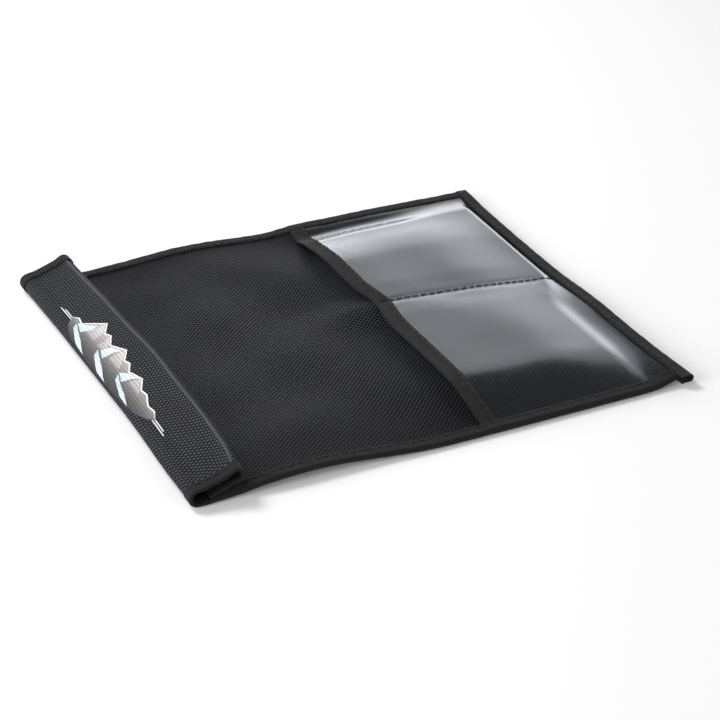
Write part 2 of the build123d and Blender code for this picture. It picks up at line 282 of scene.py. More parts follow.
def crease_push(y):
    """How much further the inner fold lies up the flap's slope: most in its middle."""
    push = 1.6 * hump(y, 60, 42) + 4.2 * hump(y, -6, 44) + 2.4 * hump(y, -75, 40)
    return push + 0.2 * SLACK(0, y) - 2.6 * smooth(-y, 108, HALF_WIDTH)


def roll_place(s, y, offset):
    """A point offset outward from the cloth's middle line, at s along it and y across it."""
    s, y, offset = np.broadcast_arrays(
        np.asarray(s, float), np.asarray(y, float), np.asarray(offset, float)
    )
    x, z, nx, nz = roll_line(s)
    along = smooth(s, S_QUARTER, S_CREASE) * (1 - smooth(s, S_TIP, S_END)) * crease_push(y)
    sag = -0.9 * smooth(s, S_FLAP, S_FLAP + 6) * smooth(S_CREASE - s, 0, 6)
    # the fold is pressed to a sharp line, except in the thick tape at its ends
    pressed = 0.85 * smooth(HALF_WIDTH - 5 - abs(y), 0, 9)
    sag = sag + pressed * np.exp(-abs(s - S_CREASE - 0.6) / 0.7)
    x = x + nx * (offset + sag) + ALONG[0] * along - swell(s, y) + SHIFT
    z = z + nz * (offset + sag) + ALONG[1] * along
    return np.stack([x, y, z], -1)


def cloth_place(s, y, offset):
    """The one sheet of back and flap: the body's shape before the roll, the roll's after it."""
    s, y, offset = np.broadcast_arrays(
        np.asarray(s, float), np.asarray(y, float), np.asarray(offset, float)
    )
    body = place(FOLD_X - s, y, BACK_MID - offset)
    roll = roll_place(s, y, offset)
    return np.where((s < 0)[..., None], body, roll)


# ---- Meshes -------------------------------------------------------------------------------
def to_mesh(name, points, faces, uvs, material, crease=35.0):
    """A smooth-shaded mesh object in metres. uvs gives one UV, in metres, for each point."""
    mesh = bpy.data.meshes.new(name)
    mesh.from_pydata((np.asarray(points) * MM).tolist(), [], faces)
    layer = mesh.uv_layers.new(name="UVMap")
    corner = np.empty(len(mesh.loops), np.int32)
    mesh.loops.foreach_get("vertex_index", corner)
    layer.data.foreach_set("uv", (np.asarray(uvs)[corner] * MM).astype(np.float32).ravel())
    mesh.materials.append(material)
    mesh.validate()
    obj = bpy.data.objects.new(name, mesh)
    bpy.context.collection.objects.link(obj)
    mesh.shade_smooth()
    mesh.set_sharp_from_angle(angle=radians(crease))
    return obj


def grid_faces(rows, columns, start=0, flip=False, wrap=False):
    """Quads over a grid of points, the columns joined round if it wraps."""
    faces = []
    last = columns if wrap else columns - 1
    for i in range(rows - 1):
        for j in range(last):
            a = start + i * columns + j
            b = start + i * columns + (j + 1) % columns
            c, d = b + columns, a + columns
            faces.append((a, d, c, b) if flip else (a, b, c, d))
    return faces


def sheet_mesh(name, surface, u, v, thickness, material):
    """A closed thin sheet: surface(u, v, offset), offset half its thickness each way."""
    grid_u, grid_v = np.meshgrid(u, v, indexing="ij")
    rows, columns = grid_u.shape
    upper = surface(grid_u, grid_v, thickness / 2).reshape(-1, 3)
    lower = surface(grid_u, grid_v, -thickness / 2).reshape(-1, 3)
    count = rows * columns
    faces = grid_faces(rows, columns) + grid_faces(rows, columns, count, flip=True)
    rim = list(range(columns))
    rim += [i * columns + columns - 1 for i in range(1, rows)]
    rim += [(rows - 1) * columns + j for j in range(columns - 2, -1, -1)]
    rim += [i * columns for i in range(rows - 2, 0, -1)]
    for a, b in zip(rim, rim[1:] + rim[:1]):
        faces.append((b, a, a + count, b + count))
    uvs = np.stack([grid_u.ravel(), grid_v.ravel()], -1)
    return to_mesh(name, np.vstack([upper, lower]), faces, np.vstack([uvs, uvs]), material)


def swept_mesh(name, sections, uvs, material):
    """A closed tube through rings: sections is (rings, points, 3), uvs (rings, points, 2)."""
    rings, count, _ = sections.shape
    faces = grid_faces(rings, count, wrap=True)
    faces.append(tuple(range(count - 1, -1, -1)))
    faces.append(tuple((rings - 1) * count + j for j in range(count)))
    return to_mesh(name, sections.reshape(-1, 3), faces, uvs.reshape(-1, 2), material, crease=50.0)


ROUND_IN = 0.9  # how far in from its fold the tape's section is rounded
LEG_CHAMFER = 0.12


def fold_section(width, upper, lower, tape):
    """Section of tape folded round an edge: (distance in from the edge, height) of its outline.

    upper and lower are the heights of its legs' inner faces, given as arrays along the tape.
    """
    middle, half = (upper + lower) / 2, (upper - lower) / 2
    turns = np.linspace(pi / 2, 3 * pi / 2, 9)[1:-1]
    legs = np.linspace(width, ROUND_IN, 6)[1:]
    outer_legs = np.r_[width - LEG_CHAMFER, legs]
    inward, height = [], []

    def point(w, h):
        inward.append(np.full_like(upper, w))
        height.append(h + np.zeros_like(upper))

    # over the top, round the fold and back underneath
    point(width, upper + 0.15 * tape)
    for w in outer_legs:
        point(w, upper + tape)
    for turn in turns:
        point(ROUND_IN + (ROUND_IN + tape) * cos(turn), middle + (half + tape) * sin(turn))
    for w in outer_legs[::-1]:
        point(w, lower - tape)
    # then the inner faces, the other way
    point(width, lower - 0.15 * tape)
    point(width, lower)
    for w in legs:
        point(w, lower)
    for turn in turns[::-1]:
        point(ROUND_IN + ROUND_IN * cos(turn) * 0.9, middle + half * sin(turn))
    for w in legs[::-1]:
        point(w, upper)
    point(width, upper)
    return np.stack(inward, -1), np.stack(height, -1)


def tape_mesh(name, stations, surface, width, upper, lower, tape=TAPE):
    """Tape folded round an edge. surface(station, inward, height) gives points along it."""
    stations = np.asarray(stations, float)
    upper = np.broadcast_to(np.asarray(upper, float), stations.shape)
    lower = np.broadcast_to(np.asarray(lower, float), stations.shape)
    inward, height = fold_section(width, upper, lower, tape)
    along = np.repeat(stations[:, None], inward.shape[1], 1)
    ripple = 0.10 * np.sin(2 * pi * along / STITCH_PITCH) * smooth(inward, 3, width)
    ripple = ripple + 0.10 * PUCKER(along, inward)
    height = height + np.where(height > (upper + lower)[:, None] / 2, ripple, -0.3 * ripple)
    sections = surface(along, inward, height)
    span = np.cumsum(np.r_[0, np.hypot(np.diff(inward[0]), np.diff(height[0]))])
    uvs = np.stack([along, np.repeat(span[None], len(stations), 0)], -1)
    return swept_mesh(name, sections, uvs, TAPE_CLOTH)


# ---- Stitches -----------------------------------------------------------------------------
STITCH_PITCH = 5.1
STITCH_LENGTH = 3.9
STITCH_RISE = 0.26
STITCH_SIDES = 8
THREAD = 0.34  # radius


def stitch_row(name, ends, surface, length=STITCH_LENGTH):
    """Lockstitches as short thread loops. surface(t, h) gives a point at distance t, h above."""
    start, end = ends
    count = max(int((end - start - length) / STITCH_PITCH) + 1, 1)
    first = start + (end - start - (count - 1) * STITCH_PITCH) / 2
    along = np.linspace(-0.5, 0.5, 9)
    arch = np.sqrt(np.clip(1 - (2 * along) ** 4, 0, 1))
    radius = THREAD * (0.25 + 0.75 * np.sqrt(np.clip(1 - (2 * along) ** 6, 0, 1)))
    around = np.linspace(0, 2 * pi, STITCH_SIDES, endpoint=False)
    points, faces, uvs = [], [], []
    for k in range(count):
        t = first + k * STITCH_PITCH + along * length
        centre = surface(t, STITCH_RISE * arch - 0.75 * THREAD * (1 - arch))
        up = surface(t, STITCH_RISE * arch + 1.0) - surface(t, STITCH_RISE * arch)
        ahead = np.gradient(centre, axis=0)
        ahead /= np.linalg.norm(ahead, axis=1, keepdims=True)
        up -= (up * ahead).sum(1, keepdims=True) * ahead
        up /= np.linalg.norm(up, axis=1, keepdims=True)
        side = np.cross(ahead, up)
        ring = (
            centre[:, None]
            + radius[:, None, None] * 1.1 * np.cos(around)[None, :, None] * side[:, None]
            + radius[:, None, None] * 0.8 * np.sin(around)[None, :, None] * up[:, None]
        )
        base = len(points)
        points.extend(ring.reshape(-1, 3))
        uv_along = np.repeat(t[:, None], STITCH_SIDES, 1)
        uv_round = np.repeat((around * THREAD)[None], len(t), 0)
        uvs.extend(np.stack([uv_along, uv_round], -1).reshape(-1, 2))
        faces += grid_faces(len(t), STITCH_SIDES, base, wrap=True)
        faces.append(tuple(base + j for j in range(STITCH_SIDES - 1, -1, -1)))
        faces.append(tuple(base + (len(t) - 1) * STITCH_SIDES + j for j in range(STITCH_SIDES)))
    return to_mesh(name, np.array(points), faces, np.array(uvs), THREAD_MATERIAL, crease=80.0)


# ---- Materials ----------------------------------------------------------------------------
class Nodes:
    """Short forms for building a node tree."""

    def __init__(self, name):
        self.material = bpy.data.materials.new(name)
        self.material.use_nodes = True
        self.tree = self.material.node_tree
        self.tree.nodes.clear()

    def add(self, kind, inputs=(), **settings):
        node = self.tree.nodes.new(kind)
        for key, value in settings.items():
            setattr(node, key, value)
        for key, value in dict(inputs).items():
            if isinstance(value, bpy.types.NodeSocket):
                self.tree.links.new(value, node.inputs[key])
            else:
                node.inputs[key].default_value = value
        return node

    def math(self, operation, *values, clamp=False):
        inputs = dict(enumerate(values))
        return self.add("ShaderNodeMath", inputs, operation=operation, use_clamp=clamp).outputs[0]

    def mix(self, factor, a, b):
        return self.add("ShaderNodeMix", {0: factor, 6: a, 7: b}, data_type="RGBA").outputs[2]

    def shade(self, colour, value):
        return self.add("ShaderNodeHueSaturation", {"Color": colour, "Value": value}).outputs[0]

    def stripes(self, coordinate, spacing):
        """0 to 1 and back over each spacing, in metres."""
        return self.math("ABSOLUTE", self.math("SINE", self.math("MULTIPLY", coordinate, pi / spacing)))

    def uv(self):
        coordinates = self.add("ShaderNodeTexCoord").outputs["UV"]
        split = self.add("ShaderNodeSeparateXYZ", {0: coordinates})
        return split.outputs[0], split.outputs[1]

    def noise(self, vector, scale, detail=2.0):
        inputs = {"Vector": vector, "Scale": scale, "Detail": detail}
        return self.add("ShaderNodeTexNoise", inputs).outputs["Fac"]

    def joined(self, x, y, z=0.0):
        return self.add("ShaderNodeCombineXYZ", {0: x, 1: y, 2: z}).outputs[0]

    def bump(self, height, strength, distance, normal=None):
        inputs = {"Height": height, "Strength": strength, "Distance": distance}
        if normal is not None:
            inputs["Normal"] = normal
        return self.add("ShaderNodeBump", inputs).outputs[0]

    def finish(self, surface):
        out = self.add("ShaderNodeOutputMaterial")
        self.tree.links.new(surface.outputs[0], out.inputs["Surface"])
        return self.material

    def principled(self, colour, roughness, **named):
        """The finished material: an input's name is given with _ for its spaces."""
        inputs = {"Base Color": colour, "Roughness": roughness}
        inputs.update({key.replace("_", " "): value for key, value in named.items()})
        return self.finish(self.add("ShaderNodeBsdfPrincipled", inputs))


def grey(value):
    """A neutral colour."""
    return (value, value, value, 1.0)


YARN_X = 1.6 * MM  # yarn spacings of the coarse plain weave
YARN_Y = 1.35 * MM


def weave(nodes):
    """Height of a plain weave, and which of its crowns catch the light, for the nylon's painted
    highlight.
    """
    u, v = nodes.uv()
    position = nodes.joined(u, v)
    drift = nodes.math("SUBTRACT", nodes.noise(position, 60.0), 0.5)
    u = nodes.math("ADD", nodes.math("DIVIDE", u, YARN_X), nodes.math("MULTIPLY", drift, 0.5))
    v = nodes.math("ADD", nodes.math("DIVIDE", v, YARN_Y), nodes.math("MULTIPLY", drift, 0.4))
    ridges = nodes.math("MULTIPLY", nodes.stripes(u, 1.0), nodes.stripes(v, 1.0))
    crown = nodes.math("POWER", ridges, 0.6)
    checks = nodes.add("ShaderNodeTexChecker", {"Vector": nodes.joined(u, v, 0.5), "Scale": 1.0})
    glinting_crowns = nodes.math("MULTIPLY", checks.outputs["Fac"], crown)
    height = nodes.math("MULTIPLY", crown, nodes.math("ADD", checks.outputs["Fac"], 0.9))
    return position, crown, glinting_crowns, height


def nylon(name, with_roll_light=False):
    """Coarse black ballistic nylon, its crowns slightly shiny and its gaps bluish black: painted
    highlight on the crowns that catch the light, painted shade in the gaps.

    With roll light the roll's cloth is painted lighter, as lit; its pale line along the flap's inner
    fold is painted highlight on the pressed crease and some wear, and past it, inside the roll, painted
    shade.
    """
    nodes = Nodes(name)
    position, crown, glinting_crowns, height = weave(nodes)
    # painted shade: the gaps between the crowns darker
    shaded_gaps = nodes.mix(crown, (0.0005, 0.0007, 0.0013, 1), (0.0015, 0.0018, 0.0028, 1))
    # painted highlight on the crowns that catch the light
    lit = nodes.mix(glinting_crowns, shaded_gaps, (0.048, 0.050, 0.058, 1))
    shade = nodes.math("MULTIPLY_ADD", nodes.noise(position, 14.0, 3.0), 0.5, 0.75)
    if with_roll_light:
        # painted highlight and some wear in a pale line on the pressed crease
        past = nodes.math("SUBTRACT", nodes.uv()[0], (S_CREASE + 0.6) * MM)
        away = nodes.math("DIVIDE", nodes.math("ABSOLUTE", past), 1.1 * MM)
        line = nodes.math("SUBTRACT", 1.0, away, clamp=True)
        inside = nodes.math("DIVIDE", nodes.math("SUBTRACT", past, 0.5 * MM), 1.2 * MM, clamp=True)
        lit = nodes.mix(nodes.math("MULTIPLY", line, 0.8), lit, (0.052, 0.054, 0.060, 1))
        # painted light: the roll 1.15 times lighter as lit, painted shade past the crease inside the
        # roll
        painted_roll_light = nodes.math("SUBTRACT", 1.15, nodes.math("MULTIPLY", inside, 0.5))
        shade = nodes.math("MULTIPLY", shade, painted_roll_light)
    else:
        # painted shade: the cloth darker towards the pouch's near and far edges, paler in its middle
        across = nodes.math("DIVIDE", nodes.math("ABSOLUTE", nodes.uv()[1]), SHEET_HALF * MM)
        painted_edge_shade = nodes.math("MULTIPLY", nodes.math("POWER", across, 2.0), 0.6)
        shade = nodes.math("MULTIPLY", shade, nodes.math("SUBTRACT", 0.92, painted_edge_shade))
    rough = nodes.math("SUBTRACT", 0.55, nodes.math("MULTIPLY", glinting_crowns, 0.18))
    normal = nodes.bump(height, 0.55, 0.00022)
    return nodes.principled(nodes.shade(lit, shade), rough, Specular_IOR_Level=0.036, Normal=normal)


def tape_cloth():
    """Grosgrain tape: fine ribs across its length, matt, slightly and unevenly worn."""
    nodes = Nodes("edging_tape")
    u, v = nodes.uv()
    position = nodes.joined(u, v)
    ribs = nodes.stripes(u, 0.62 * MM)
    height = nodes.math("ADD", ribs, nodes.math("MULTIPLY", nodes.stripes(v, 0.45 * MM), 0.35))
    fuzz = nodes.noise(position, 2400.0)
    colour = nodes.mix(ribs, (0.003, 0.003, 0.0032, 1), (0.0095, 0.0095, 0.0098, 1))
    wear = nodes.math("MULTIPLY_ADD", nodes.noise(position, 35.0, 4.0), 0.7, 0.65)
    return nodes.principled(
        nodes.shade(colour, wear),
        nodes.math("MULTIPLY_ADD", fuzz, 0.2, 0.72),
        Specular_IOR_Level=0.1,
        Sheen_Weight=0.03,
        Sheen_Roughness=0.5,
        Normal=nodes.bump(nodes.math("ADD", height, fuzz), 0.5, 0.00012),
    )


def thread():
    """Twisted polyester thread."""
    nodes = Nodes("thread")
    u, v = nodes.uv()
    lean = nodes.math("MULTIPLY", v, 1500.0)
    twist = nodes.math("ADD", nodes.math("MULTIPLY", u, pi / (0.5 * MM)), lean)
    plies = nodes.math("ABSOLUTE", nodes.math("SINE", twist))
    colour = nodes.mix(plies, (0.0015, 0.0015, 0.002, 1), (0.011, 0.011, 0.013, 1))
    return nodes.principled(colour, 0.55, Specular_IOR_Level=0.2, Normal=nodes.bump(plies, 0.6, 0.0001))


def clear_vinyl():
    """Soft clear PVC: what is below shows through it, and it mirrors by its angle."""
    nodes = Nodes("clear_vinyl")
    position, _, _, height = weave(nodes)
    broad = nodes.noise(position, 45.0)
    smear = nodes.math("MULTIPLY_ADD", nodes.noise(position, 26.0, 5.0), 0.16, 0.07)
    # the sheet lies against the weave and takes a faint imprint of it
    normal = nodes.bump(height, 0.5, 0.000009, nodes.bump(broad, 0.3, 0.0004))
    facing = nodes.add("ShaderNodeLayerWeight", {"Blend": 0.5, "Normal": normal}).outputs["Facing"]
    mirror = nodes.math("MULTIPLY_ADD", nodes.math("POWER", facing, 4.5), 0.94, 0.045)
    glossy = nodes.add(
        "ShaderNodeBsdfAnisotropic",
        {"Color": (0.97, 0.985, 1.0, 1), "Roughness": smear, "Normal": normal},
    )
    through = nodes.add("ShaderNodeBsdfTransparent", {"Color": (0.65, 0.675, 0.71, 1)})
    haze = nodes.add("ShaderNodeBsdfDiffuse", {"Color": (0.62, 0.66, 0.7, 1)})
    body = nodes.add("ShaderNodeMixShader", {0: 0.008, 1: through.outputs[0], 2: haze.outputs[0]})
    surface = nodes.add("ShaderNodeMixShader", {0: mirror, 1: body.outputs[0], 2: glossy.outputs[0]})
    return nodes.finish(surface)


def hook_cloth(name, spacing, value):
    """Hook or loop strip: a close pile of small dark points."""
    nodes = Nodes(name)
    position = nodes.joined(*nodes.uv())
    cells = nodes.add("ShaderNodeTexVoronoi", {"Vector": position, "Scale": 1.0 / (spacing * MM)})
    height = nodes.math("SUBTRACT", 1.0, cells.outputs["Distance"])
    colour = nodes.mix(height, grey(0.004), grey(value))
    return nodes.principled(colour, 0.85, Normal=nodes.bump(height, 0.9, 0.0004))


def floor_paper():
    """Pale studio paper with a faint grain."""
    nodes = Nodes("floor_paper")
    grain = nodes.noise(nodes.add("ShaderNodeTexCoord").outputs["Object"], 900.0)
    return nodes.principled(nodes.mix(grain, grey(0.68), grey(0.71)), 0.9)


NYLON = nylon("nylon_weave")
# the roll's copy of the nylon, with painted light, highlight and shade
ROLL_LIT_NYLON = nylon("nylon_weave_roll_lit", with_roll_light=True)
TAPE_CLOTH = tape_cloth()
THREAD_MATERIAL = thread()
VINYL_MATERIAL = clear_vinyl()


def finish_piece(obj, nodes, body=None, bend=None):
    """Parent a piece to its body's empty, or bake its transform where a bend is given, and hide the CAD
    parts it stands for.
    """
    if bend is None:
        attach(obj, body)
    else:
        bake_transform(obj)
    if nodes:
        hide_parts(*nodes)
    return obj


def bend_point(x, z):
    """A point of the shaped cloth's section, in metres, where a fold's bending starts or ends."""
    return ((float(x) + SHIFT) * MM, 0.0, float(z) * MM)


def line_point(s):
    """The bend point at distance s along the roll's middle line."""
    x, z, _, _ = roll_line(np.array([s]))
    return bend_point(x[0], z[0])


# Where each fold's bending starts and ends
BEND_SPINE = ("pouch", "spine", line_point(0.4), line_point(S_QUARTER))
BEND_FLAP = ("spine", "flap", line_point(S_QUARTER + 0.4), line_point(S_FLAP - 0.5))
HALF_CREASE = OUTWARD * INNER_RADIUS / 2
BEND_TIP = (
    "flap", "tip",
    bend_point(*(INNER_CENTRE + HALF_CREASE)), bend_point(*(INNER_CENTRE - HALF_CREASE)),
)
S_SPLIT = S_CREASE - 0.8  # the flap's cloth is divided here, just before its inner fold


FOLD_STEP = 0.45  # length of the cloth's faces where it is bent sharply


def steps(low, high, size):
    """Even stations from low to high, about a size apart."""
    return np.linspace(low, high, max(int(round(abs(high - low) / size)), 1) + 1)


# ---- Cloth --------------------------------------------------------------------------------
WIDTH_STEPS = steps(-SHEET_HALF, SHEET_HALF, 3.5)


def stretches(body, flat_step, crease_step):
    """Stations along the cloth's three parts, divided at the folds."""
    body = np.r_[body, steps(0, S_QUARTER, FOLD_STEP)[1:]]
    flap = np.r_[steps(S_QUARTER, S_FLAP, FOLD_STEP), steps(S_FLAP, S_SPLIT, flat_step)[1:]]
    tip = np.r_[steps(S_SPLIT, S_TIP, crease_step), steps(S_TIP, S_END, flat_step)[1:]]
    return body, flap, tip


def build_cloth():
    """Back, flap and tip: one sheet, divided at the folds into three parts."""
    flat = np.r_[steps(-(back_high[0] - FOLD_X), -8, 3.5), steps(-6, 0, 1.0)[1:]]
    body, flap, tip = stretches(flat, 1.2, FOLD_STEP)
    for name, stretch, replaced, bend, material in (
        ("back_cloth", body, ["back_panel"], BEND_SPINE, NYLON),
        ("flap_cloth", flap, ["spine_panel", "flap_panel"], BEND_FLAP, ROLL_LIT_NYLON),
        ("tip_cloth", tip, ["tip_panel"], BEND_TIP, ROLL_LIT_NYLON),
    ):
        piece = sheet_mesh(name, cloth_place, stretch, WIDTH_STEPS, CLOTH, material)
        finish_piece(piece, replaced, bend=bend)
        middle = cloth_place(stretch, 0.0, 0.0)


def build_front():
    """The front panel, which closes the main pocket."""
    def surface(x, y, offset):
        return place(x, y, front_top(x, y) + offset)

    across = steps(FRONT_START, front_high[0], 3.0)
    piece = sheet_mesh("front_cloth", surface, across, WIDTH_STEPS, CLOTH, NYLON)
    finish_piece(piece, ["front_panel"], body="pouch")


def build_window():
    """The clear sheet over both clear pockets."""
    def surface(x, y, offset):
        return place(x, y, vinyl_mid(x, y) + offset)

    across = steps(MOUTH_X + 0.2, window_high[0], 1.2)
    along = steps(-SHEET_HALF, SHEET_HALF, 1.5)
    piece = sheet_mesh("clear_sheet", surface, across, along, VINYL, VINYL_MATERIAL)
    finish_piece(piece, ["clear_window"], body="pouch")


# ---- Tapes --------------------------------------------------------------------------------
def stack_top(x):
    """Height of the top sheet's upper face under the side tapes, above the back's middle."""
    single, double = CLOTH / 2, front_high[2] - BACK_MID
    triple = double + VINYL
    height = single + (double - single) * smooth(x, FRONT_START - 2, FRONT_START + 3)
    return height + (triple - double) * smooth(x, MOUTH_X - 3, MOUTH_X + 2)


LEG = TAPE_WIDTH - TAPE  # length of a tape's legs
SEAM_Y = HALF_WIDTH - TAPE_WIDTH  # where the side tapes end inwards
MOUTH_TAPE_WIDTH = TAPE_WIDTH + 1.4
MOUTH_TAPE = 0.55  # thickness
END_CLEARANCE = 0.45  # room under the end tape for the side tapes it covers
END_SHIFT = -2.5  # the end tape stands out further at its near end


def build_side_tapes():
    """Tape round the far and near edges, over the folds to the flap's free edge."""
    start = -(END_TAPE_START + 5 - FOLD_X)
    flat = np.r_[steps(start, -8, 1.6), steps(-8, 0, 0.8)[1:]]
    body, flap, tip = stretches(flat, 0.8, 0.4)
    for side_name, side in (("far", 1), ("near", -1)):
        def surface(s, inward, height, side=side):
            # height is upwards from the back's middle, so outward of the roll is minus it
            return cloth_place(s, side * (HALF_WIDTH - TAPE - inward), -height)

        for name, stretch, replaced, bend in (
            ("side_tape", body, ["side_binding"], BEND_SPINE),
            ("flap_tape", flap, ["spine_binding", "flap_binding"], BEND_FLAP),
            ("tip_tape", tip, ["tip_binding"], BEND_TIP),
        ):
            upper = np.where(stretch < 0, stack_top(FOLD_X - stretch), CLOTH / 2)
            if side < 0:
                stretch = stretch[::-1]
                upper = upper[::-1]
            piece = tape_mesh(f"{name}_{side_name}", stretch, surface, LEG, upper, -CLOTH / 2)
            finish_piece(piece, [f"{node}_{side_name}" for node in replaced], bend=bend)


def build_end_tape():
    """End tape, its cut ends standing out past the side tapes."""
    def surface(y, inward, height):
        return place(RIGHT_END - TAPE - inward, y, BACK_MID + np.maximum(height, -BACK_MID))

    y = steps(end_low[1] + END_SHIFT, end_high[1] + END_SHIFT, 1.6)
    upper = front_high[2] + VINYL - BACK_MID + END_CLEARANCE
    piece = tape_mesh("end_tape", y, surface, LEG, upper, -CLOTH / 2)
    finish_piece(piece, ["end_binding"], body="pouch")


def build_mouth_tape():
    """Tape folded round the clear sheet's mouth edge."""
    def surface(y, inward, height):
        x = MOUTH_X + inward
        return place(x, y, vinyl_mid(x, y) + height)

    y = steps(SEAM_Y + 2.5, -SEAM_Y - 2.5, 1.6)
    half = VINYL / 2 + 0.02
    piece = tape_mesh("mouth_tape", y, surface, MOUTH_TAPE_WIDTH, half, -half, tape=MOUTH_TAPE)
    finish_piece(piece, ["window_mouth_binding"], body="pouch")


def build_tip_end_tape():
    """Tape round the flap's free edge, inside the roll."""
    def surface(y, inward, height):
        return cloth_place(S_END - inward, y, -height)

    y = steps(SEAM_Y, -SEAM_Y, 2.5)
    piece = tape_mesh("tip_end_tape", y, surface, 5.0, CLOTH / 2, -CLOTH / 2)
    finish_piece(piece, ["tip_end_binding"], body="tip")


# ---- Closure strips -----------------------------------------------------------------------
HOOK_LOW, HOOK_HIGH = S_END - 13.5, S_END - 5.5  # along the cloth


def build_closure():
    """Loop strip on the front panel, hook strip on the tip, both hidden in the roll."""
    thick = loop_high[2] - loop_low[2]
    lifted = CLOTH / 2 + thick / 2
    across = steps(-loop_high[1], loop_high[1], 3.5)

    def loop_surface(x, y, offset):
        return place(x, y, front_top(x, y) + lifted + offset)

    def hook_surface(s, y, offset):
        return cloth_place(s, y, lifted + offset)

    along = steps(loop_low[0], loop_high[0], 1.5)
    pile = hook_cloth("loop_pile", 0.5, 0.03)
    piece = sheet_mesh("loop_strip_pile", loop_surface, along, across, thick, pile)
    finish_piece(piece, ["loop_strip"], body="pouch")

    along = steps(HOOK_LOW, HOOK_HIGH, 1.5)
    pile = hook_cloth("hook_pile", 0.9, 0.02)
    piece = sheet_mesh("hook_strip_pile", hook_surface, along, across, thick, pile)
    finish_piece(piece, ["hook_strip"], body="tip")


# ---- Seams --------------------------------------------------------------------------------
STITCH_INSET = 1.8  # a seam lies this far inside the tape's inner edge


def seam_piece(name, ends, surface, node, body="pouch", length=STITCH_LENGTH):
    """One row of stitches, standing for its node."""
    finish_piece(stitch_row(name, ends, surface, length), [node], body=body)


def build_seams():
    """Every row of stitches that can be seen on the upper side."""
    inset = TAPE_WIDTH - STITCH_INSET
    for side_name, side in (("far", 1), ("near", -1)):
        seam_y = side * (HALF_WIDTH - inset)

        def body_seam(t, h, seam_y=seam_y):
            return place(t, seam_y, BACK_MID + stack_top(t) + TAPE + h)

        def flap_seam(t, h, seam_y=seam_y):
            return roll_place(t, seam_y, HALF_STACK + h)

        ends = (FOLD_X + 8, END_TAPE_START - 1)
        seam_piece(f"side_stitches_{side_name}", ends, body_seam, f"side_stitching_{side_name}")
        ends = (S_FLAP - 0.5, S_CREASE)
        seam_piece(f"flap_stitches_{side_name}", ends, flap_seam, f"flap_stitching_{side_name}", "flap")

    def end_seam(t, h):
        return place(RIGHT_END - inset, t, front_high[2] + VINYL + TAPE + END_CLEARANCE + h)

    seam_piece("end_stitches", (-HALF_WIDTH + 2, HALF_WIDTH - 2), end_seam, "end_stitching")

    def divider_seam(t, h):
        y = divider_y(t)
        over_tape = 0.6 * smooth(MOUTH_X + MOUTH_TAPE_WIDTH + 0.5 - t, 0, 1)
        return place(t, y, vinyl_mid(t, y) + VINYL / 2 + over_tape + h)

    ends = (MOUTH_X + 1, END_TAPE_START)
    seam_piece("divider_stitches", ends, divider_seam, "divider_stitching", length=4.6)

    def mouth_seam(t, h):
        x = MOUTH_X + MOUTH_TAPE_WIDTH - STITCH_INSET
        return place(x, t, vinyl_mid(x, t) + VINYL / 2 + MOUTH_TAPE + h)

    seam_piece("mouth_stitches", (-SEAM_Y, SEAM_Y), mouth_seam, "window_mouth_stitching")

    loop_thick = loop_high[2] - loop_low[2]
    for edge, x in (("mouth_side", loop_low[0] + 1), ("inner_side", loop_high[0] - 1)):
        def loop_seam(t, h, x=x):
            return place(x, t, front_top(x, t) + CLOTH / 2 + loop_thick + h)

        seam_piece(f"loop_stitches_{edge}", (-SEAM_Y + 1, SEAM_Y - 1), loop_seam, "loop_stitching")


# ---- Print --------------------------------------------------------------------------------
PRINT_BASE = S_FLAP + 4.0  # distance along the cloth of the print's baseline
PRINT_FILM = 0.05
FOLD_DARKENING_LOW, FOLD_DARKENING_LENGTH = PRINT_BASE - 4.5, 12.0  # where the inks darken towards the fold: the print's own shading and painted shade


def ink(name, low, high):
    """Screen-print ink on the weave: thin in the gaps, darker from high to low down the print towards
    the fold, as the print's own shading and painted shade.
    """
    nodes = Nodes(name)
    position, crown, _, height = weave(nodes)
    past = nodes.math("SUBTRACT", nodes.uv()[0], FOLD_DARKENING_LOW * MM)
    up = nodes.math("DIVIDE", past, FOLD_DARKENING_LENGTH * MM, clamp=True)
    # the print's own shading and painted shade at the fold, from the low tone to the high
    tone = nodes.mix(up, low, high)
    worn = nodes.math("MULTIPLY_ADD", nodes.noise(position, 260.0, 3.0), 0.3, 0.82)
    cover = nodes.math("MULTIPLY_ADD", crown, 0.55, 0.5)
    colour = nodes.shade(tone, nodes.math("MULTIPLY", worn, cover))
    normal = nodes.bump(height, 0.4, 0.0002)
    return nodes.principled(colour, 0.55, Specular_IOR_Level=0.3, Normal=normal)


def inset(outline, distance):
    """The outline moved inwards by a distance, its points given anticlockwise."""
    points = np.array(outline, float)
    before, after = np.roll(points, 1, 0), np.roll(points, -1, 0)
    first = (points - before) / np.linalg.norm(points - before, axis=1, keepdims=True)
    second = (after - points) / np.linalg.norm(after - points, axis=1, keepdims=True)
    normal_a = np.stack([-first[:, 1], first[:, 0]], -1)
    normal_b = np.stack([-second[:, 1], second[:, 0]], -1)
    mitre = normal_a + normal_b
    mitre /= np.maximum((mitre * normal_a).sum(1, keepdims=True), 0.6)
    return points + mitre * distance


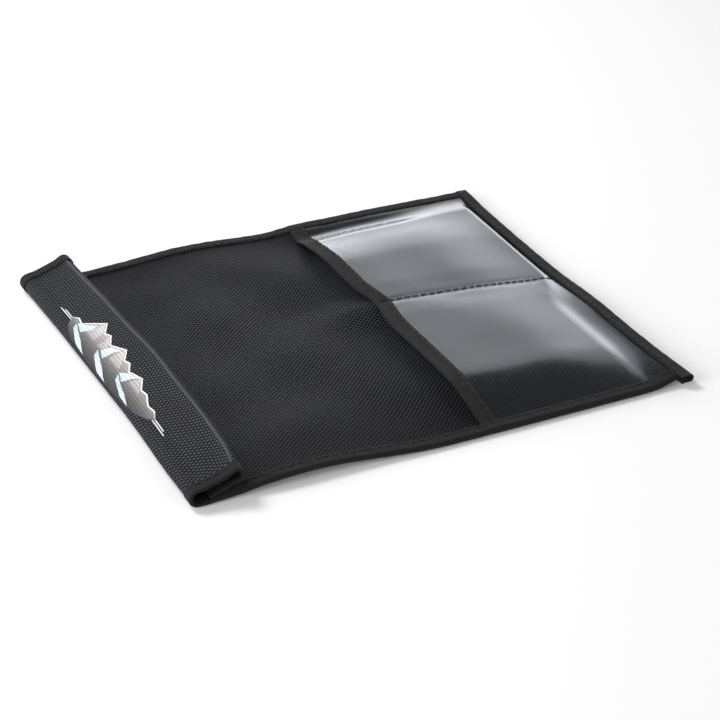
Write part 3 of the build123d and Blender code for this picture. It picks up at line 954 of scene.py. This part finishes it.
# A plain ridge of uneven peaks over a rounded foot, as (distance towards +Y, height above
# the baseline), each outline anticlockwise
RIDGE = [
    (-60, 0.5), (70, 0.5), (64, 3.5), (58, 2.6), (45, 12.3), (37, 8.2), (32, 9.6), (24, 6.4),
    (12, 10.4), (4, 6.5), (-1, 7.4), (-8, 4.8), (-20, 7.4), (-29, 4.0), (-35, 4.8), (-45, 2.2),
    (-52, 3.0),
]
FOOT = [
    (-58, 0.6), (-56, -2.0), (-48, -4.6), (-36, -6.4), (-20, -7.4), (0, -7.8), (20, -7.8),
    (40, -7.4), (54, -6.0), (63, -3.4), (68, 0.6),
]
LIT_FACES = [
    [(45, 11.0), (39, 8.4), (36, 1.4), (50, 1.4), (46, 6.0)],
    [(32, 8.4), (25, 5.8), (20, 1.4), (31, 1.4), (30, 5.0)],
    [(12, 9.2), (5, 5.8), (-2, 1.4), (13, 1.4), (14, 5.0)],
    [(-20, 6.3), (-28, 3.3), (-32, 1.4), (-17, 1.4), (-17, 3.4)],
]
GLACIERS = [
    [(60, 1.0), (50, -1.0), (47, 5.0), (47, 7.6), (55, 3.0)],
    [(24, 1.0), (16, -1.0), (16, 5.0), (13, 8.4), (22, 5.4)],
    [(-4, 1.0), (-13, -1.0), (-15, 3.6), (-18, 5.9), (-9, 3.8)],
    [(30, -7.0), (42, -6.4), (57, -2.4), (60, 0.4), (50, -1.8), (40, -4.0)],
    [(-4, -7.2), (8, -6.8), (22, -3.0), (26, 0.2), (17, -1.8), (6, -4.2)],
    [(-36, -5.8), (-25, -5.6), (-9, -2.6), (-5, 0.2), (-14, -1.8), (-26, -3.6)],
]
HORIZON = [
    [(66, -0.6), (83, -0.6), (83, -0.05), (66, -0.05)],
    [(66, 0.5), (79, 0.5), (79, 1.0), (66, 1.0)],
    [(-76, -0.6), (-58, -0.6), (-58, -0.05), (-76, -0.05)],
    [(-72, 0.5), (-58, 0.5), (-58, 1.0), (-72, 1.0)],
]
# Cuts that let the print follow the cloth: axis, spacing, first, last
CUTS = ((0, 0.9, PRINT_BASE - 10, PRINT_BASE + 16), (1, 4.0, -80, 88))


def flat_outline(outline, level, material_index):
    """One outline as a finely cut flat mesh, at x along the cloth, y across it and z its level."""
    flat = bmesh.new()
    flat.faces.new([flat.verts.new((PRINT_BASE + h, y, level)) for y, h in outline])
    for axis, spacing, low, high in CUTS:
        for cut in np.arange(low, high, spacing):
            parts = flat.verts[:] + flat.edges[:] + flat.faces[:]
            at, across = [0, 0, 0], [0, 0, 0]
            at[axis], across[axis] = cut, 1
            bmesh.ops.bisect_plane(flat, geom=parts, plane_co=at, plane_no=across)
    bmesh.ops.triangulate(flat, faces=flat.faces[:])
    for face in flat.faces:
        face.material_index = material_index
        if face.normal.z < 0:
            face.normal_flip()
    return flat


def build_print():
    """The print: thin layers of ink, one over the other, laid on the flap."""
    layers = [(0, [RIDGE] + HORIZON), (1, [inset(RIDGE, 0.75), FOOT]), (2, LIT_FACES), (3, GLACIERS)]
    whole = bmesh.new()
    for level, (material_index, outlines) in enumerate(layers):
        for outline in outlines:
            flat = flat_outline(outline, level, material_index)
            part = bpy.data.meshes.new("part")
            flat.to_mesh(part)
            flat.free()
            whole.from_mesh(part)
            bpy.data.meshes.remove(part)
    flat_points = np.array([vert.co for vert in whole.verts])
    film = CLOTH / 2 + PRINT_FILM * (1 + flat_points[:, 2])
    placed = roll_place(flat_points[:, 0], flat_points[:, 1], film)
    layer = whole.loops.layers.uv.new("UVMap")
    for face in whole.faces:
        for loop in face.loops:
            loop[layer].uv = (loop.vert.co.x * MM, loop.vert.co.y * MM)
    for vert, point in zip(whole.verts, placed):
        vert.co = point * MM
    whole.normal_update()
    bmesh.ops.solidify(whole, geom=whole.faces[:], thickness=0.04 * MM)
    mesh = bpy.data.meshes.new("flap_ridge_print")
    whole.to_mesh(mesh)
    whole.free()
    # each ink's first tone is its darker one at the fold, the print's own shading and painted shade
    for name, low, high in (
        ("ink_white", (0.62, 0.66, 0.68, 1), (0.74, 0.76, 0.77, 1)),
        ("ink_grey", (0.008, 0.008, 0.009, 1), (0.36, 0.33, 0.32, 1)),
        ("ink_warm", (0.10, 0.09, 0.09, 1), (0.52, 0.48, 0.47, 1)),
        ("ink_pale_blue", (0.50, 0.60, 0.65, 1), (0.60, 0.68, 0.72, 1)),
    ):
        mesh.materials.append(ink(name, low, high))
    obj = bpy.data.objects.new("flap_ridge_print", mesh)
    bpy.context.collection.objects.link(obj)
    finish_piece(obj, ["flap_print"], bend=BEND_FLAP)


# ---- Stage, light and camera --------------------------------------------------------------
FLOOR_SIZE = 12.0
FLOOR_GAP = 0.0004
# Brightness of the world by height, from straight down to straight up: bright low walls all
# round and a darker ceiling
WORLD_STOPS = (
    (0.0, 2.6), (0.24, 2.5), (0.37, 2.0), (0.45, 1.22), (0.55, 1.28), (0.61, 0.12), (1.0, 0.07),
)


def build_world():
    """A round studio as the world's light."""
    world = bpy.data.worlds.new("studio")
    bpy.context.scene.world = world
    world.use_nodes = True
    tree = world.node_tree
    tree.nodes.clear()
    direction = tree.nodes.new("ShaderNodeTexCoord")
    split = tree.nodes.new("ShaderNodeSeparateXYZ")
    ramp = tree.nodes.new("ShaderNodeValToRGB")
    background = tree.nodes.new("ShaderNodeBackground")
    out = tree.nodes.new("ShaderNodeOutputWorld")
    tree.links.new(direction.outputs["Generated"], split.inputs[0])
    tree.links.new(split.outputs[2], ramp.inputs[0])
    tree.links.new(ramp.outputs[0], background.inputs["Color"])
    tree.links.new(background.outputs[0], out.inputs["Surface"])
    elements = ramp.color_ramp.elements
    while len(elements) < len(WORLD_STOPS):
        elements.new(0.5)
    for element, (at, value) in zip(elements, WORLD_STOPS):
        element.position = at
        element.color = (value, value, value * 1.02, 1)


def softbox(name, place_m, target_m, size, power):
    """A square area light, in metres and watts, turned to its target."""
    light = bpy.data.lights.new(name, "AREA")
    light.shape = "RECTANGLE"
    light.size = light.size_y = size
    light.energy = power
    lamp = bpy.data.objects.new(name, light)
    bpy.context.collection.objects.link(lamp)
    lamp.location = place_m
    aim = Vector(target_m) - Vector(place_m)
    lamp.rotation_euler = aim.to_track_quat("-Z", "Y").to_euler()


def build_stage():
    """Floor, world and two soft lights."""
    floor_z = CAD_LOW[2] - FLOOR_GAP
    bpy.ops.mesh.primitive_plane_add(size=FLOOR_SIZE, location=(0, 0, floor_z))
    floor = bpy.context.object
    floor.name = "floor"
    floor.data.materials.append(floor_paper())
    build_world()
    softbox("key", (-0.6, 0.95, 1.25), (0, 0, 0), 0.65, 25.0)
    softbox("left_fill", (-1.3, -0.35, 0.6), (-0.1, 0, 0), 0.7, 14.0)


CAMERA_AZIMUTH = -26.265
CAMERA_ELEVATION = 29.651
CAMERA_DISTANCE = 1.3179
CAMERA_TARGET = Vector((-0.00628, -0.03264, 0.0))
CAMERA_LENS = 116.5


def build_camera():
    """A long lens, low and to the left of the near side."""
    azimuth, elevation = radians(CAMERA_AZIMUTH), radians(CAMERA_ELEVATION)
    back = Vector((sin(azimuth) * cos(elevation), -cos(azimuth) * cos(elevation), sin(elevation)))
    data = bpy.data.cameras.new("camera")
    data.lens = CAMERA_LENS
    data.sensor_width = 36.0
    camera = bpy.data.objects.new("camera", data)
    bpy.context.collection.objects.link(camera)
    camera.location = CAMERA_TARGET + back * CAMERA_DISTANCE
    camera.rotation_euler = (-back).to_track_quat("-Z", "Y").to_euler()
    bpy.context.scene.camera = camera


build_stage()
build_camera()
build_cloth()
build_front()
build_window()
build_side_tapes()
build_end_tape()
build_mouth_tape()
build_tip_end_tape()
build_closure()
build_seams()
build_print()

bpy.context.scene.view_settings.view_transform = "Standard"
bpy.context.scene.view_settings.look = "None"
